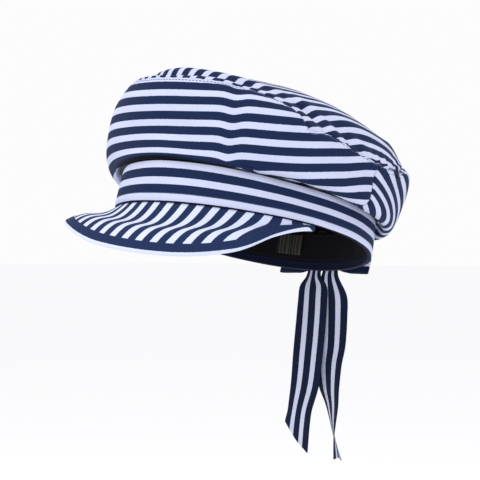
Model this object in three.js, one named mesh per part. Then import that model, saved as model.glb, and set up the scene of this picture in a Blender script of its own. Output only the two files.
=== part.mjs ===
// Soft sailor cap with a striped band, a curved peak and ribbon tails, held tipped back as worn.
// Millimetres. The origin is the middle of the head opening, +Z up, the peak towards -Y.
import * as THREE from "three";

// Driving sizes.
const rimLength = 202; // outside the band, front to back
const rimWidth = 174; // outside the band, side to side
const rimEgg = 0.14; // how much narrower the front half is
const rimSaddle = 2.5; // how far front and back dip below the sides
const tipBack = 14.5; // degrees the cap is tipped back
const bandHeight = 26.5;
const bandLean = 1.8; // how far the band's top edge leans in
const bandThickness = 2.2;
const crownHeight = 109.5; // middle of the crown above the rim
const crownPuff = 20; // most that the crown stands out past the rim
const crownFlop = 0.053; // sideways slope of the crown's top
const clothThickness = 1.4;
const liningThickness = 1;
const sweatbandThickness = 1.2;
const tapeHeight = 6;
const peakReach = 36;
const peakDrop = 38.5;
const peakHalfAngle = 78; // degrees from the front to the peak's end
const peakThickness = 2.6;
const bindingThickness = 1;
const bindingWidth = 5.5;
const ribbonWidth = 26;
const ribbonThickness = 1;
const bowWidth = 87;
const bowHeight = 24;
const knotWidth = 17;
const tailDrop = 144; // ribbon ends below the rim's back
const labelWidth = 22;
const clearance = 0.3;

const rad = THREE.MathUtils.degToRad;
const V = (x, y, z) => new THREE.Vector3(x, y, z);
const mix = THREE.MathUtils.lerp;

// Five columns hold values at the front, front quarter, side, back quarter and back.
function around(columns, t) {
  const n = columns.length - 1;
  let sum = 0;
  for (let k = 0; k <= n; k += 1) {
    let part = 0;
    for (let j = 0; j <= n; j += 1) {
      const end = j === 0 || j === n ? 0.5 : 1;
      part += end * columns[j] * Math.cos((Math.PI * k * j) / n);
    }
    const first = k === 0 || k === n ? 1 : 2;
    sum += (first * part * Math.cos(k * t)) / n;
  }
  return sum;
}

// The rim's radius in the direction t, measured from the front towards the wearer's left.
function rimRadius(t) {
  const a = rimLength / 2;
  const b = rimWidth / 2;
  const c = Math.cos(t);
  const s = Math.sin(t);
  return ((a * b) / Math.hypot(b * c, a * s)) * (1 - rimEgg * c * s * s);
}

const rimDip = (t) => -rimSaddle * Math.cos(2 * t);
const polar = (r, t, z) => V(r * Math.sin(t), -r * Math.cos(t), z);

// Outside of the band, v from the rim to the top edge.
function bandAt(t, v, inset = 0) {
  const r = rimRadius(t) - bandLean * v - inset;
  return polar(r, t, mix(rimDip(t), bandHeight, v));
}

// Crown rings from the band up. puff is a share of crownPuff past the rim, rise a share of the
// crown's height above the band, flop how much of the sideways slope has come in.
const RINGS = [
  { puff: [-0.16, -0.16, -0.16, -0.16, -0.16], rise: [0.004, 0.004, 0.004, 0.004, 0.004], flop: 0 },
  { puff: [-0.1, 0, 0.02, 0.02, 0.02], rise: [0.012, 0.01, 0.01, 0.006, 0.006], flop: 0 },
  { puff: [-0.06, 0.14, 0.34, 0.28, 0.26], rise: [0.03, 0.03, -0.01, -0.06, -0.04], flop: 0 },
  { puff: [-0.1, 0.3, 0.75, 0.58, 0.56], rise: [0.115, 0.065, 0.045, -0.025, 0.005], flop: 0.1 },
  { puff: [-0.13, 0.57, 0.79, 0.84, 0.74], rise: [0.277, 0.25, 0.245, 0.26, 0.25], flop: 0.35 },
  { puff: [0.16, 0.63, 0.88, 0.84, 0.61], rise: [0.5, 0.53, 0.35, 0.48, 0.49], flop: 0.75 },
  { puff: [0.13, 0.21, 0.83, 0.48, 0.26], rise: [0.703, 0.688, 0.417, 0.577, 0.732], flop: 1 },
];

// Rings of the crown's top, as a share of the seam ring's radius.
const TOP_RINGS = [
  { share: 0.91, rise: [0.74, 0.745, 0.573, 0.74, 0.745] },
  { share: 0.843, rise: [0.84, 0.807, 0.7, 0.775, 0.82] },
  { share: 0.59, rise: [0.886, 0.897, 0.877, 0.898, 0.925] },
  { share: 0.294, rise: [0.98, 0.98, 0.98, 0.98, 0.98] },
  { share: 0, rise: [1, 1, 1, 1, 1] },
];

const SEAM = RINGS.length - 1; // ring where the top panel is sewn on
const POLE = RINGS.length + TOP_RINGS.length - 1;

// Soft dents and puffs: where (degrees, ring), how wide, and how deep; a minus stands out.
const FOLDS = [
  { at: -54, ring: 3.6, wide: 34, tall: 1.5, deep: -6.4 },
  { at: 33, ring: 5.2, wide: 6, tall: 1.8, deep: 1 },
  { at: 34, ring: 7, wide: 8, tall: 0.9, deep: 1.8 },
  { at: 64, ring: 6.9, wide: 8, tall: 0.9, deep: 1.4 },
  { at: 74, ring: 6.9, wide: 8, tall: 0.8, deep: -1.2 },
  { at: 86, ring: 6.4, wide: 6, tall: 0.6, deep: 1.2 },
  { at: 118, ring: 5.2, wide: 7, tall: 1.2, deep: 2.2 },
  { at: 144, ring: 4.6, wide: 7, tall: 1.6, deep: 2 },
  { at: 168, ring: 4.4, wide: 7, tall: 1.6, deep: 2.2 },
  { at: -166, ring: 4.6, wide: 7, tall: 1.6, deep: 2.2 },
  { at: -140, ring: 4.4, wide: 8, tall: 1.6, deep: 2 },
  { at: -104, ring: 5, wide: 8, tall: 1.2, deep: 2 },
  { at: -25, ring: 7.2, wide: 9, tall: 0.7, deep: 1.6 },
];

function ringPoint(index, t) {
  const i = index > POLE ? 2 * POLE - index : Math.max(index, 0);
  const mirror = index > POLE ? -1 : 1;
  const lift = crownHeight - bandHeight;
  const ring = i <= SEAM ? RINGS[i] : TOP_RINGS[i - SEAM - 1];
  const seam = rimRadius(t) + crownPuff * around(RINGS[SEAM].puff, t);
  const lower = () => rimRadius(t) + crownPuff * around(ring.puff, t);
  const r = i <= SEAM ? lower() : seam * ring.share;
  return { r: r * mirror, z: bandHeight + lift * around(ring.rise, t), flop: ring.flop ?? 1 };
}

// Smooth curve through the rings at one direction.
function spline(a, b, c, d, f) {
  const g = f * f;
  const h = g * f;
  return 0.5 * (2 * b + (c - a) * f + (2 * a - 5 * b + 4 * c - d) * g + (3 * (b - c) + d - a) * h);
}

function crownForm(t, v) {
  const i = Math.min(Math.floor(v), POLE - 1);
  const p = [-1, 0, 1, 2].map((k) => ringPoint(i + k, t));
  const f = v - i;
  const [r, z, flop] = ["r", "z", "flop"].map((k) => spline(p[0][k], p[1][k], p[2][k], p[3][k], f));
  const point = polar(r, t, z);
  point.z -= crownFlop * flop * point.x;
  return point;
}

// Outward normal of a surface f(t, v).
function normalOf(f, t, v, top) {
  const e = 1e-3;
  const w = Math.min(Math.max(v, e), top - e);
  const across = f(t + e, w).sub(f(t - e, w));
  const up = f(t, w + e).sub(f(t, w - e));
  return across.cross(up).normalize();
}

function foldDepth(t, v) {
  let depth = 0;
  for (const fold of FOLDS) {
    const turn = Math.atan2(Math.sin(t - rad(fold.at)), Math.cos(t - rad(fold.at)));
    const a = turn / rad(fold.wide);
    const b = (v - fold.ring) / fold.tall;
    depth += fold.deep * Math.exp(-a * a - b * b);
  }
  return depth;
}

function crownAt(t, v) {
  const n = normalOf(crownForm, t, v, POLE);
  return crownForm(t, v).addScaledVector(n, -foldDepth(t, v));
}

// Closed mesh from quads and triangles given as corner points.
class Faces {
  constructor() {
    this.corners = [];
  }
  tri(a, b, c) {
    const area = b.clone().sub(a).cross(c.clone().sub(a)).length();
    if (area > 1e-7) this.corners.push(a, b, c);
  }
  quad(a, b, c, d) {
    this.tri(a, b, c);
    this.tri(a, c, d);
  }
  // Signed volume: a body whose faces point in is turned round.
  volume() {
    let sum = 0;
    for (let i = 0; i < this.corners.length; i += 3) {
      const [a, b, c] = this.corners.slice(i, i + 3);
      sum += a.dot(b.clone().cross(c)) / 6;
    }
    return sum;
  }
  mesh(name, material) {
    if (this.volume() < 0) this.corners.reverse();
    const geometry = new THREE.BufferGeometry().setFromPoints(this.corners);
    geometry.computeVertexNormals();
    const mesh = new THREE.Mesh(geometry, material);
    mesh.name = name;
    return mesh;
  }
}

const steps = (a, b, n) => Array.from({ length: n + 1 }, (_, i) => mix(a, b, i / n));

// Joins two grids of points, outer and inner, into a closed shell.
function shellFromGrids(outer, inner, closed) {
  const faces = new Faces();
  const cols = outer.length - 1;
  const rows = outer[0].length - 1;
  for (let i = 0; i < cols; i += 1) {
    for (let j = 0; j < rows; j += 1) {
      faces.quad(outer[i][j], outer[i + 1][j], outer[i + 1][j + 1], outer[i][j + 1]);
      faces.quad(inner[i][j], inner[i][j + 1], inner[i + 1][j + 1], inner[i + 1][j]);
    }
    faces.quad(outer[i][0], inner[i][0], inner[i + 1][0], outer[i + 1][0]);
    faces.quad(outer[i][rows], outer[i + 1][rows], inner[i + 1][rows], inner[i][rows]);
  }
  for (let j = 0; j < rows && !closed; j += 1) {
    faces.quad(outer[0][j], outer[0][j + 1], inner[0][j + 1], inner[0][j]);
    faces.quad(outer[cols][j], inner[cols][j], inner[cols][j + 1], outer[cols][j + 1]);
  }
  return faces;
}

// Shell of a surface f(t, v), moved in by inset and made thick inwards.
function shell(f, top, ts, vs, inset, thickness, closed) {
  const grid = (depth) =>
    ts.map((t) => vs.map((v) => f(t, v).addScaledVector(normalOf(f, t, v, top), -depth)));
  const outer = grid(inset);
  const inner = grid(inset + thickness);
  if (closed) {
    outer[outer.length - 1] = outer[0];
    inner[inner.length - 1] = inner[0];
  }
  return shellFromGrids(outer, inner, closed);
}

const material = (color, roughness) =>
  new THREE.MeshStandardMaterial({ color, roughness, metalness: 0 });
const striped = material(0x8b93bd, 0.85);
const stripedTop = material(0x7f88b4, 0.85);
const navy = material(0x2a3560, 0.8);
const black = material(0x17171a, 0.9);
const ribbonCloth = material(0x6f79aa, 0.75);
const plain = material(0x9a9fae, 0.85);

const hat = new THREE.Group();
hat.rotation.x = -rad(tipBack);

// Crown: three panels meet on the seams with a small gap.
const sideSeam = rad(97); // direction of the seams between front and back panels
const gapShare = 0.014; // ring step that leaves the clearance at a seam
const gapTurn = (1.25 * clearance) / rimWidth;
const frontTurns = steps(-sideSeam + gapTurn, sideSeam - gapTurn, 44);
const backTurns = steps(sideSeam + gapTurn, 2 * Math.PI - sideSeam - gapTurn, 32);
const wholeTurn = steps(0, 2 * Math.PI, 56);
const wallRings = [0, 0.5, 1, 1.5, 2, 2.5, 3, 3.7, 4.4, 5.2, SEAM - gapShare];
const topRings = [SEAM + gapShare, 6.5, 7, 7.5, 8, 8.7, 9.4, 10.2, POLE];
hat.add(
  shell(crownAt, POLE, frontTurns, wallRings, 0, clothThickness, false).mesh("crown_front", striped),
  shell(crownAt, POLE, backTurns, wallRings, 0, clothThickness, false).mesh("crown_back", striped),
);

// The top and the lining close at the pole in one point.
function domeAt(inset) {
  return (t, v) => {
    if (v < POLE - 1e-6) {
      return crownAt(t, v).addScaledVector(normalOf(crownForm, t, v, POLE), -inset);
    }
    return V(0, 0, crownHeight - inset);
  };
}

function dome(ts, vs, inset, thickness) {
  const grid = (f) => ts.map((t) => vs.map((v) => f(t, v)));
  const outer = grid(domeAt(inset));
  const inner = grid(domeAt(inset + thickness));
  outer[outer.length - 1] = outer[0];
  inner[inner.length - 1] = inner[0];
  return shellFromGrids(outer, inner, true);
}

const liningInset = clothThickness + 3 * clearance;
const liningRings = [1, 1.5, 2, 3, 3.7, 4.4, 5.2, 5.7, 6.2, 7, 8, 9.2, POLE];
hat.add(
  dome(wholeTurn, topRings, 0, clothThickness).mesh("crown_top", stripedTop),
  dome(steps(0, 2 * Math.PI, 42), liningRings, liningInset, liningThickness).mesh("crown_lining", black),
);

// Band, with the sweatband and the rim's tape inside it.
const insideBand = bandThickness + clearance;
const tapeShare = tapeHeight / bandHeight;
const tapeGap = clearance / bandHeight;
const turn = (f, vs, inset, thickness, n) =>
  shell(f, 1, steps(0, 2 * Math.PI, n), vs, inset, thickness, true);
hat.add(
  turn(bandAt, [0, 1], 0, bandThickness, 72).mesh("headband", striped),
  turn(bandAt, [tapeShare + tapeGap, 0.97], insideBand, sweatbandThickness, 54).mesh("sweatband", black),
  turn(bandAt, [0, tapeShare], insideBand, sweatbandThickness, 54).mesh("rim_tape", navy),
);
const labelMiddle = rad(198);
const labelTurn = labelWidth / rimLength;
const labelTurns = steps(labelMiddle - labelTurn, labelMiddle + labelTurn, 6);
const labelInset = insideBand + sweatbandThickness + clearance;
hat.add(shell(bandAt, 1, labelTurns, [0.36, 0.9], labelInset, 0.6, false).mesh("inner_label", plain));

// Peak: rows from its right end, over the front, to its left end, as shares of reach and drop.
const PEAK = [
  { reach: 0.05, drop: 0.02 },
  { reach: 0.26, drop: 0.02 },
  { reach: 0.63, drop: 0.225 },
  { reach: 0.91, drop: 0.515 },
  { reach: 0.905, drop: 0.94 },
  { reach: 0.845, drop: 1.04 },
  { reach: 0.64, drop: 0.8 },
  { reach: 0.15, drop: 0.315 },
  { reach: 0.05, drop: 0.04 },
];

function peakRow(t, key) {
  const place = ((t / rad(peakHalfAngle) + 1) / 2) * (PEAK.length - 1);
  const i = Math.min(Math.max(Math.floor(place), 0), PEAK.length - 2);
  const row = (k) => PEAK[Math.min(Math.max(i + k, 0), PEAK.length - 1)][key];
  return Math.max(spline(row(-1), row(0), row(1), row(2), place - i), 0.04);
}

// Surface of the peak, u from under the band to the outer edge.
const peakTuck = 1.8; // how far the peak starts inside the band's outside
function peakAt(t, u) {
  const e = 1e-3;
  const along = bandAt(t + e, 0).sub(bandAt(t - e, 0)).setZ(0).normalize();
  const out = V(along.y, -along.x, 0);
  const reach = peakTuck + peakReach * peakRow(t, "reach");
  const sag = u + 0.09 * Math.sin(2 * Math.PI * u);
  const point = bandAt(t, 0).addScaledVector(out, reach * u - peakTuck);
  point.z -= 2 * clearance + peakDrop * peakRow(t, "drop") * sag;
  return point;
}

const peakEnd = rad(peakHalfAngle);
const peakTurns = steps(-peakEnd, peakEnd, 40);
const peakRows = steps(0, 1, 6);
// The outer edge is the last row, so the upper side is found by running u inwards.
const peakNormal = (t, u) => normalOf(peakAt, t, u, 1).negate();
const peakGrid = (depth) =>
  peakTurns.map((t) => peakRows.map((u) => peakAt(t, u).addScaledVector(peakNormal(t, u), -depth)));
const under = peakGrid(peakThickness);
const upper = peakGrid(0);
hat.add(shellFromGrids(under, upper, false).mesh("peak", stripedTop));

// Binding: a channel folded round the peak's edge, with its own clearance all round.
function bindingRing(t) {
  const e = 1e-3;
  const long = peakAt(t, 1).sub(peakAt(t, 0)).length();
  const start = 1 - Math.min(bindingWidth / long, 0.45);
  const out = peakAt(t, 1).sub(peakAt(t, 1 - e)).normalize();
  const at = (u, depth, past) =>
    peakAt(t, u).addScaledVector(peakNormal(t, u), -depth).addScaledVector(out, past);
  const us = [start, (1 + start) / 2, 1];
  const lower = peakThickness + clearance;
  const wall = clearance + bindingThickness;
  return [
    ...us.map((u) => at(u, -wall, 0)),
    at(1, -clearance - bindingThickness / 3, wall),
    at(1, lower + bindingThickness / 3, wall),
    ...us.map((u) => at(u, lower + bindingThickness, 0)).reverse(),
    ...us.map((u) => at(u, lower, 0)),
    at(1, lower, clearance),
    at(1, -clearance, clearance),
    ...us.map((u) => at(u, -clearance, 0)).reverse(),
  ];
}

// Sweeps rings of points along a path. Ends are quads of ring indices, or null for a closed path.
function sweep(rings, ends) {
  const faces = new Faces();
  const n = rings[0].length;
  const count = ends ? rings.length - 1 : rings.length;
  for (let i = 0; i < count; i += 1) {
    const next = rings[(i + 1) % rings.length];
    for (let j = 0; j < n; j += 1) {
      const k = (j + 1) % n;
      faces.quad(rings[i][j], rings[i][k], next[k], next[j]);
    }
  }
  const last = rings[rings.length - 1];
  for (const [a, b, c, d] of ends ?? []) {
    faces.quad(rings[0][d], rings[0][c], rings[0][b], rings[0][a]);
    faces.quad(last[a], last[b], last[c], last[d]);
  }
  return faces;
}

// A channel's two ends are closed with a quad for each pair of facing ring points.
const wallPoints = bindingRing(0).length;
const facing = (k) => [k, k + 1, wallPoints - 2 - k, wallPoints - 1 - k];
const channelEnds = Array.from({ length: wallPoints / 2 - 1 }, (_, k) => facing(k));
hat.add(sweep(peakTurns.map(bindingRing), channelEnds).mesh("peak_binding", navy));

// Bow: one flat loop of ribbon that the knot pinches in the middle.
const bowShift = -5.5; // its middle is a little to the wearer's right
const bowMiddle = 9.5; // height of its middle above the rim
const tailSpace = 3 * clearance + 2 * ribbonThickness; // room for both tails behind the knot
const pinchDepth = 2 * ribbonThickness + clearance;
const knotWall = ribbonThickness;
const bowBack = rimLength / 2 + tailSpace + knotWall + clearance + pinchDepth / 2 + 0.6;
const loopDepth = 6.2;
const pinchHeight = 0.76; // share of the bow's height left at the knot

function bowStation(share, face) {
  const open = THREE.MathUtils.smoothstep(Math.abs(share), 0.26, 0.62);
  const nose = (1 - Math.abs(share) ** 5) ** 0.5;
  const ring = (half, depth) => {
    const y = bowBack + face * depth * nose;
    return [half * share + bowShift, y];
  };
  const depth = mix(pinchDepth, loopDepth, open) / 2;
  const high = (bowHeight / 2) * mix(pinchHeight, 1, open);
  const [ox, oy] = ring(bowWidth / 2, depth);
  const [ix, iy] = ring(bowWidth / 2 - ribbonThickness, depth - ribbonThickness);
  return [
    V(ox, oy, bowMiddle - high),
    V(ox, oy, bowMiddle + high),
    V(ix, iy, bowMiddle + high),
    V(ix, iy, bowMiddle - high),
  ];
}

const bowShares = [-1, -0.98, -0.93, -0.84, -0.72, -0.58, -0.44, -0.32, -0.2, 0];
const bowHalf = [...bowShares, ...bowShares.slice(0, -1).map((x) => -x).reverse()];
const bowPath = [
  ...bowHalf.map((x) => bowStation(x, 1)),
  ...bowHalf.slice(1, -1).reverse().map((x) => bowStation(x, -1)),
];
hat.add(sweep(bowPath, null).mesh("bow_loops", ribbonCloth));

// Knot: a flat ring of ribbon round the pinch.
function knotStation(a) {
  const corner = (depth, high) => {
    const c = Math.cos(a);
    const s = Math.sin(a);
    const round = (w) => Math.sign(w) * Math.abs(w) ** 0.3;
    return [bowBack + depth * round(c), bowMiddle + high * round(s)];
  };
  const gap = clearance + 0.25;
  const [iy, iz] = corner(pinchDepth / 2 + gap, (bowHeight / 2) * pinchHeight + gap);
  const wall = gap + knotWall;
  const [oy, oz] = corner(pinchDepth / 2 + wall, (bowHeight / 2) * pinchHeight + wall);
  const half = knotWidth / 2;
  return [
    V(bowShift - half, oy, oz),
    V(bowShift + half, oy, oz),
    V(bowShift + half, iy, iz),
    V(bowShift - half, iy, iz),
  ];
}
hat.add(sweep(steps(0, 2 * Math.PI, 20).slice(0, -1).map(knotStation), null).mesh("bow_knot", ribbonCloth));

// Tails hang straight down from behind the knot. fall is a share of tailDrop below the rim's
// back, side and back are shares of the ribbon's width, turn is in degrees.
const TAIL_RIGHT = [
  { fall: 0.13, side: -0.25, back: 0, turn: 8 },
  { fall: 0.28, side: -0.35, back: 0, turn: 10 },
  { fall: 0.43, side: -0.45, back: 0, turn: 10 },
  { fall: 0.61, side: -0.58, back: 0, turn: 5 },
  { fall: 0.76, side: -0.81, back: 0.02, turn: -7 },
  { fall: 0.91, side: -0.95, back: 0.04, turn: -9 },
];
const TAIL_LEFT = [
  { fall: 0.13, side: 0.35, back: 0.09, turn: 7 },
  { fall: 0.24, side: 0.29, back: 0.17, turn: 10 },
  { fall: 0.39, side: 0.24, back: 0.17, turn: 6 },
  { fall: 0.5, side: 0.14, back: 0.17, turn: -2 },
  { fall: 0.62, side: 0.16, back: 0.17, turn: -16 },
  { fall: 0.71, side: 0.26, back: 0.17, turn: -30 },
  { fall: 0.8, side: 0.3, back: 0.17, turn: -42 },
  { fall: 0.87, side: 0.33, back: 0.17, turn: -50 },
  { fall: 0.985, side: 0.48, back: 0.17, turn: -64 },
];

const tilt = new THREE.Matrix4().makeRotationX(-rad(tipBack));
const rimBack = bandAt(Math.PI, 0).applyMatrix4(tilt);

function tail(rows, startSide, y, cutLeft, cutRight) {
  const tops = [bowMiddle + 4, bowMiddle - 5, -6].map((z) => ({
    at: V(bowShift + startSide * ribbonWidth, y, z).applyMatrix4(tilt),
    turn: 0,
  }));
  const free = tops[2].at.y;
  const hung = rows.map((row) => ({
    at: V(
      bowShift + row.side * ribbonWidth,
      free + row.back * ribbonWidth,
      rimBack.z - row.fall * tailDrop,
    ),
    turn: row.turn,
  }));
  const keys = [...tops, ...hung];
  const rings = [];
  const key = (k) => keys[Math.min(Math.max(k, 0), keys.length - 1)];
  for (let i = 0; i + 1 < keys.length; i += 1) {
    const last = i + 2 === keys.length;
    for (const f of last ? [0, 0.5, 1] : [0, 0.5]) {
      const of = (get) => spline(get(key(i - 1)), get(key(i)), get(key(i + 1)), get(key(i + 2)), f);
      const centre = V(of((k) => k.at.x), of((k) => k.at.y), of((k) => k.at.z));
      const turnBy = rad(of((k) => k.turn));
      const end = last && f === 1;
      rings.push(tailRing(centre, turnBy, end ? cutLeft : 0, end ? cutRight : 0));
    }
  }
  return sweep(rings, [[0, 1, 2, 3]]);
}

function tailRing(centre, turnBy, lowerLeft, lowerRight) {
  const across = V(Math.cos(turnBy), Math.sin(turnBy), 0);
  const through = V(-Math.sin(turnBy), Math.cos(turnBy), 0);
  const corner = (a, b, lower) => {
    const point = centre.clone().addScaledVector(across, (a * ribbonWidth) / 2);
    point.addScaledVector(through, (b * ribbonThickness) / 2);
    point.z -= lower;
    return point;
  };
  return [
    corner(-1, -1, lowerRight),
    corner(1, -1, lowerLeft),
    corner(1, 1, lowerLeft),
    corner(-1, 1, lowerRight),
  ];
}

const firstPly = rimLength / 2 + clearance + ribbonThickness / 2;
const secondPly = firstPly + clearance + ribbonThickness;
const cap = new THREE.Group();
cap.add(hat);
cap.add(
  tail(TAIL_RIGHT, -0.29, firstPly, 9, -13).mesh("tail_right", ribbonCloth),
  tail(TAIL_LEFT, 0.33, secondPly, 0, 4).mesh("tail_left", ribbonCloth),
);

export default cap;
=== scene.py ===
import math

import bpy
import numpy as np
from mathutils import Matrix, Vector


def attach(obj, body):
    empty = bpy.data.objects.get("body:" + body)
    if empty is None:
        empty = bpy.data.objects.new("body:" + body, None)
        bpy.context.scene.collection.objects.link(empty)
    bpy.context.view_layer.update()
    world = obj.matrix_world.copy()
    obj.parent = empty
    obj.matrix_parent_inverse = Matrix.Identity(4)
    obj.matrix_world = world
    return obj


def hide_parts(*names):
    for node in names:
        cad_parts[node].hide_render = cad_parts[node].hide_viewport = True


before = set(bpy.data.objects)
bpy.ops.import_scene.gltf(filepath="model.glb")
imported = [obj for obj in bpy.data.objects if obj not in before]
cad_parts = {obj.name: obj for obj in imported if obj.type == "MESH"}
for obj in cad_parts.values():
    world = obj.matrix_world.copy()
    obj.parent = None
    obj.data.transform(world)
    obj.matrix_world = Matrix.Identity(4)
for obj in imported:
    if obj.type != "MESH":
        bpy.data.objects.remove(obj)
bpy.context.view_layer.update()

# Sizes of the cap, in metres. Directions round the head run from the front to the wearer's left.
RIM_LENGTH = 0.202
RIM_WIDTH = 0.174
RIM_EGG = 0.14
RIM_SADDLE = 0.0025
TIP_BACK = math.radians(14.5)
BAND_HEIGHT = 0.0265
BAND_LEAN = 0.0018
BAND_CLOTH = 0.0022
CROWN_HEIGHT = 0.1095
CROWN_PUFF = 0.020
CROWN_FLOP = 0.053
CROWN_CLOTH = 0.0014
SIDE_SEAM = math.radians(98)
CLEARANCE = 0.0003
STRIPE_PAIR = 0.0106  # one navy and one pale stripe
RIBBON_WIDTH = 0.026
RIBBON_CLOTH = 0.0007
BOW_SHIFT = -0.0055  # the bow sits a little to the wearer's right
BOW_MIDDLE = 0.0095
BOW_WIDTH = 0.087
BOW_HEIGHT = 0.024
KNOT_WIDTH = 0.017
TAIL_DROP = 0.144


# Camera, floor and light

CAMERA_SIDE = math.radians(42)  # from the cap's front to its left
CAMERA_AWAY = 1.2
CAMERA_LENS = 125.1
AIM_ASIDE = 0.0007
AIM_HEIGHT = -0.00396


def add_camera():
    """The camera stands level with the cap, at its left front."""
    c, s = math.cos(CAMERA_SIDE), math.sin(CAMERA_SIDE)
    right = Vector((c, s, 0))
    back = Vector((s, -c, 0))
    target = right * AIM_ASIDE + Vector((0, 0, AIM_HEIGHT))
    bpy.ops.object.camera_add(location=target + back * CAMERA_AWAY)
    camera = bpy.context.object
    camera.rotation_euler = (target - camera.location).to_track_quat("-Z", "Y").to_euler()
    camera.data.sensor_width = 36
    camera.data.lens = CAMERA_LENS
    camera.data.clip_end = 60
    bpy.context.scene.camera = camera


def add_studio():
    """A pale floor well below the ribbon, a white room and three soft lamps."""
    bpy.context.scene.view_settings.view_transform = "Standard"
    bpy.ops.object.select_all(action="DESELECT")
    bpy.ops.mesh.primitive_plane_add(size=40, location=(0, 0, -0.4))
    floor = bpy.context.object
    floor.name = "studio_floor"
    paint = bpy.data.materials.new("studio_floor")
    paint.use_nodes = True
    shader = paint.node_tree.nodes["Principled BSDF"]
    shader.inputs["Base Color"].default_value = (0.97, 0.97, 0.975, 1)
    shader.inputs["Roughness"].default_value = 1
    shader.inputs["Specular IOR Level"].default_value = 0
    floor.data.materials.append(paint)
    world = bpy.data.worlds.new("studio")
    bpy.context.scene.world = world
    world.use_nodes = True
    world.node_tree.nodes["Background"].inputs["Color"].default_value = (0.975, 0.975, 0.985, 1)
    world.node_tree.nodes["Background"].inputs["Strength"].default_value = 1.0
    # Name, place, size and power of each lamp, all turned to the cap.
    lamps = [
        ("key", (-0.25, -1.5, 0.9), 1.0, 5.5),
        ("fill", (1.5, -0.9, 0.5), 1.4, 3.5),
        ("top", (-0.3, -0.2, 1.6), 1.0, 4),
    ]
    for name, place, size, power in lamps:
        bpy.ops.object.light_add(type="AREA", location=place)
        lamp = bpy.context.object
        lamp.name = name
        lamp.data.size = size
        lamp.data.energy = power
        lamp.rotation_euler = (-Vector(place)).to_track_quat("-Z", "Y").to_euler()


# Form of the cap

def around(columns, t):
    """Values at the front, front quarter, side, back quarter and back, joined smoothly, the
    same on the left and the right."""
    n = len(columns) - 1
    total = np.zeros_like(t)
    for k in range(n + 1):
        part = sum(
            (0.5 if j in (0, n) else 1) * columns[j] * math.cos(math.pi * k * j / n)
            for j in range(n + 1)
        )
        total = total + (1 if k in (0, n) else 2) * part * np.cos(k * t) / n
    return total


def through(rows, place):
    """Smooth curve through evenly spaced rows; place counts the rows from 0."""
    table = np.array([rows[0], *rows, rows[-1]], float)
    place = np.clip(place, 0, len(rows) - 1)
    i = np.minimum(np.floor(place).astype(int), len(rows) - 2)
    f = place - i
    a, b, c, d = (table[i + k] for k in range(4))
    bend = 2 * a - 5 * b + 4 * c - d
    twist = 3 * (b - c) + d - a
    return 0.5 * (2 * b + (c - a) * f + bend * f**2 + twist * f**3)


def smoothstep(x, low, high):
    """0 below low, 1 above high and a soft step between."""
    f = np.clip((x - low) / (high - low), 0, 1)
    return f * f * (3 - 2 * f)


def swell(x, middle, wide):
    """1 at the middle, fading to 0 over about twice the width on both sides."""
    return np.exp(-(((x - middle) / wide) ** 2))


def turn_from(t, degrees):
    """Degrees round the head from one direction, at most half a turn either way."""
    d = t - math.radians(degrees)
    return np.degrees(np.arctan2(np.sin(d), np.cos(d)))


def rim_radius(t):
    a, b = RIM_LENGTH / 2, RIM_WIDTH / 2
    c, s = np.cos(t), np.sin(t)
    return a * b / np.hypot(b * c, a * s) * (1 - RIM_EGG * c * s * s)


def rim_dip(t):
    return -RIM_SADDLE * np.cos(2 * t)


SLOPE_STEP = 1e-3


def polar(r, t, z):
    return np.stack([r * np.sin(t), -r * np.cos(t), z + 0 * t], -1)


def tipped(p):
    """From the cap's own upright to the way it sits, tipped back."""
    x, y, z = p[..., 0], p[..., 1], p[..., 2]
    c, s = math.cos(TIP_BACK), math.sin(TIP_BACK)
    return np.stack([x, y * c + z * s, z * c - y * s], -1)


# Crown rings from the band up: how far each puffs out, how high it stands and how much of the
# lean to the wearer's left it takes. Puff and height are given at five directions, from the
# front round to the back. The top's rings are a share of the seam ring's radius, and a height.
RINGS = [
    ((-0.16, -0.16, -0.16, -0.16, -0.16), (0.004, 0.004, 0.004, 0.004, 0.004), 0),
    ((-0.1, 0, 0.02, 0.02, 0.02), (0.012, 0.01, 0.01, 0.006, 0.006), 0),
    ((-0.06, 0.14, 0.34, 0.28, 0.26), (0.03, 0.03, -0.01, -0.06, -0.04), 0),
    ((-0.1, 0.3, 0.75, 0.58, 0.56), (0.115, 0.065, 0.045, -0.025, 0.005), 0.1),
    ((-0.13, 0.57, 0.79, 0.84, 0.74), (0.277, 0.25, 0.245, 0.26, 0.25), 0.35),
    ((0.16, 0.63, 0.88, 0.84, 0.61), (0.5, 0.53, 0.35, 0.48, 0.49), 0.75),
    ((0.13, 0.21, 0.83, 0.48, 0.26), (0.703, 0.688, 0.417, 0.577, 0.732), 1),
]
TOP_RINGS = [
    (0.91, (0.74, 0.745, 0.573, 0.74, 0.745)),
    (0.843, (0.84, 0.807, 0.7, 0.775, 0.82)),
    (0.59, (0.886, 0.897, 0.877, 0.898, 0.925)),
    (0.294, (0.98, 0.98, 0.98, 0.98, 0.98)),
    (0.0, (1, 1, 1, 1, 1)),
]
SEAM = len(RINGS) - 1
POLE = len(RINGS) + len(TOP_RINGS) - 1

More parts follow.
